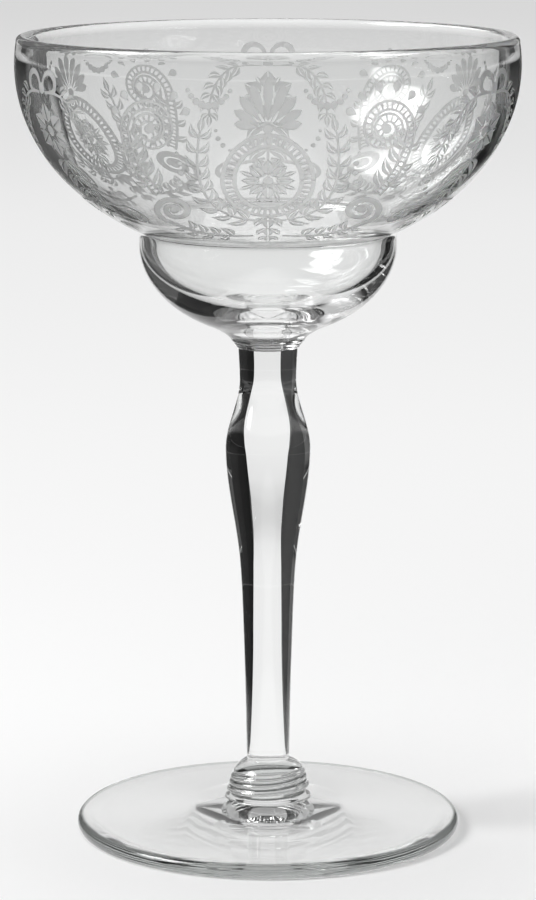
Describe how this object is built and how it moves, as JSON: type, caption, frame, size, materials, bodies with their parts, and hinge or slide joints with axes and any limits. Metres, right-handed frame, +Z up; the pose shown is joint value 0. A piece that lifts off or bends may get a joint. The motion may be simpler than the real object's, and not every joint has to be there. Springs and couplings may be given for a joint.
{
  "type": "sherbet glass",
  "caption": "Tall footed sherbet glass: etched saucer bowl with a stepped lower cup, collar, drawn baluster stem, ringed knop and round foot.",
  "frame": {"origin": "centre of the ring that the foot stands on, on the table", "axes": "+Z up along the axis of the glass, from the foot to the rim"},
  "size_m": [0.0942, 0.0942, 0.152],
  "materials": {
    "clear_glass": "polished",
    "etched_bowl_glass": "polished, with an etched frieze"
  },
  "bodies": {
    "root": {"foot": "clear_glass", "foot_knop": "clear_glass", "stem": "clear_glass", "bowl_collar": "clear_glass", "bowl": "etched_bowl_glass"}
  },
  "joints": []
}
